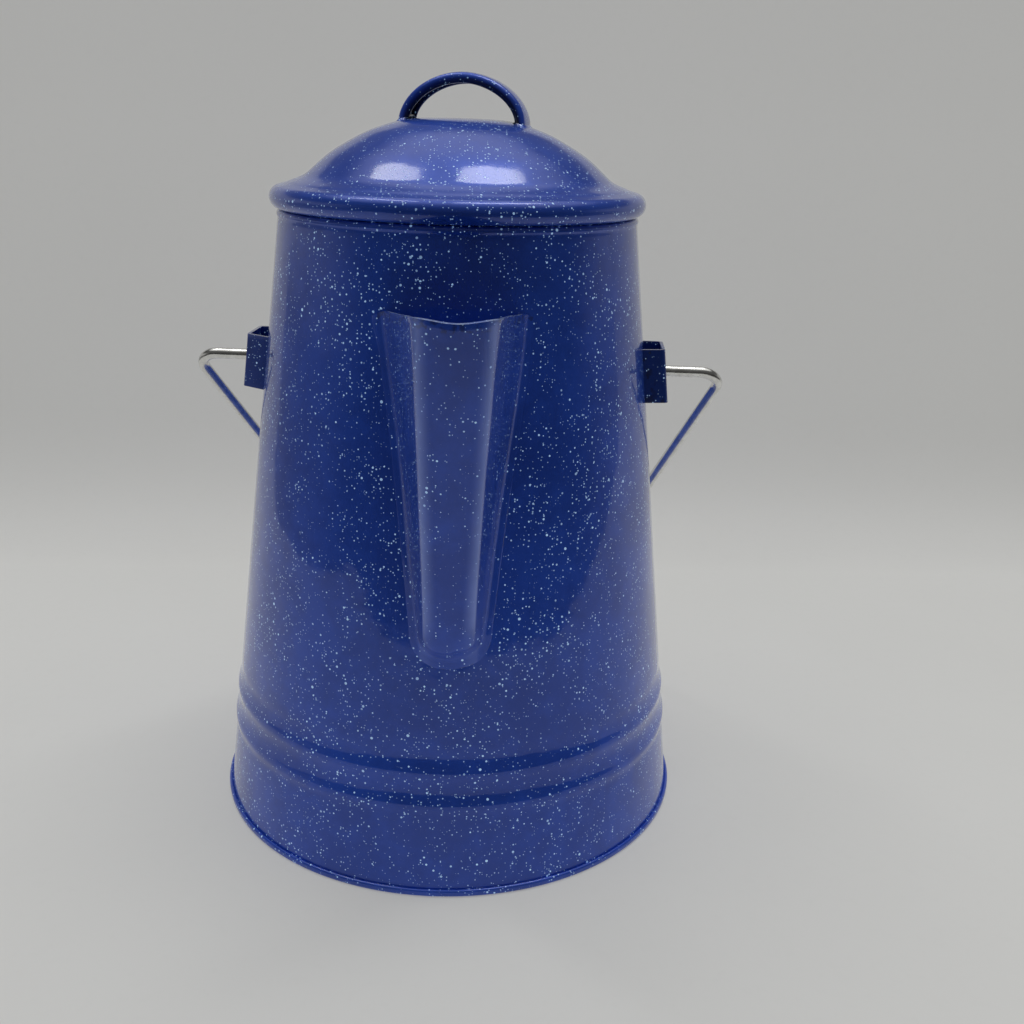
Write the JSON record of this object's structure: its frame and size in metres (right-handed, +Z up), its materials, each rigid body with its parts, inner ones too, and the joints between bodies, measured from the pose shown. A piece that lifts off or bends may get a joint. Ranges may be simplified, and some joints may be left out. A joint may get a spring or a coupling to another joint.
{
  "type": "coffee percolator",
  "caption": "Conical enamelled camp percolator with a channel spout, swinging wire bail with wooden grip, rear strap handle, lift-off domed lid and a lift-out basket on a pump stem.",
  "frame": {"origin": "centre of the foot, on the ground plane", "axes": "+Z up along the pot's axis, spout towards -Y, rear handle towards +Y, ears near +X and -X"},
  "size_m": [0.225, 0.248, 0.3074],
  "materials": {
    "enamel_blue": "glossy cobalt blue enamel with fine white speckles",
    "plated_wire": "bright plated steel wire",
    "grip_wood": "turned, lightly varnished",
    "insert_alloy": "satin spun aluminium"
  },
  "bodies": {
    "pot": {"body_shell": "enamel_blue", "base_pan": "enamel_blue", "spout": "enamel_blue", "ear_left": "enamel_blue", "ear_right": "enamel_blue", "rear_handle": "enamel_blue"},
    "bail": {"bail_wire": "plated_wire"},
    "grip": {"bail_grip": "grip_wood"},
    "lid": {"lid_shell": "enamel_blue", "lid_collar": "enamel_blue", "lid_handle": "enamel_blue"},
    "stem": {"stem_tube": "insert_alloy", "stem_bell": "insert_alloy", "basket_stop": "insert_alloy"},
    "basket": {"basket_shell": "insert_alloy", "basket_sleeve": "insert_alloy"},
    "spreader": {"spreader_cover": "insert_alloy"}
  },
  "joints": [
    {"name": "bail_swing", "type": "hinge", "parent": "pot", "child": "bail", "pos_m": [0, 0, 0.191], "axis": [0.9947, -0.1028, 0], "range_deg": [0, 280]},
    {"name": "grip_spin", "type": "hinge", "parent": "bail", "child": "grip", "pos_m": [0.01095, 0.10593, 0.06042], "axis": [0.9947, -0.1028, 0], "continuous": true},
    {"name": "lid_lift", "type": "slide", "parent": "pot", "child": "lid", "axis": [0, 0, 1], "range_m": [0, 0.36]},
    {"name": "spreader_lift", "type": "slide", "parent": "pot", "child": "spreader", "axis": [0, 0, 1], "range_m": [0, 0.288]},
    {"name": "basket_lift", "type": "slide", "parent": "pot", "child": "basket", "axis": [0, 0, 1], "range_m": [0, 0.216]},
    {"name": "stem_lift", "type": "slide", "parent": "pot", "child": "stem", "axis": [0, 0, 1], "range_m": [0, 0.09]}
  ],
  "couplings": [
    {"joint": "spreader_lift", "follows": "lid_lift", "ratio": 0.8},
    {"joint": "basket_lift", "follows": "lid_lift", "ratio": 0.6},
    {"joint": "stem_lift", "follows": "lid_lift", "ratio": 0.25}
  ]
}
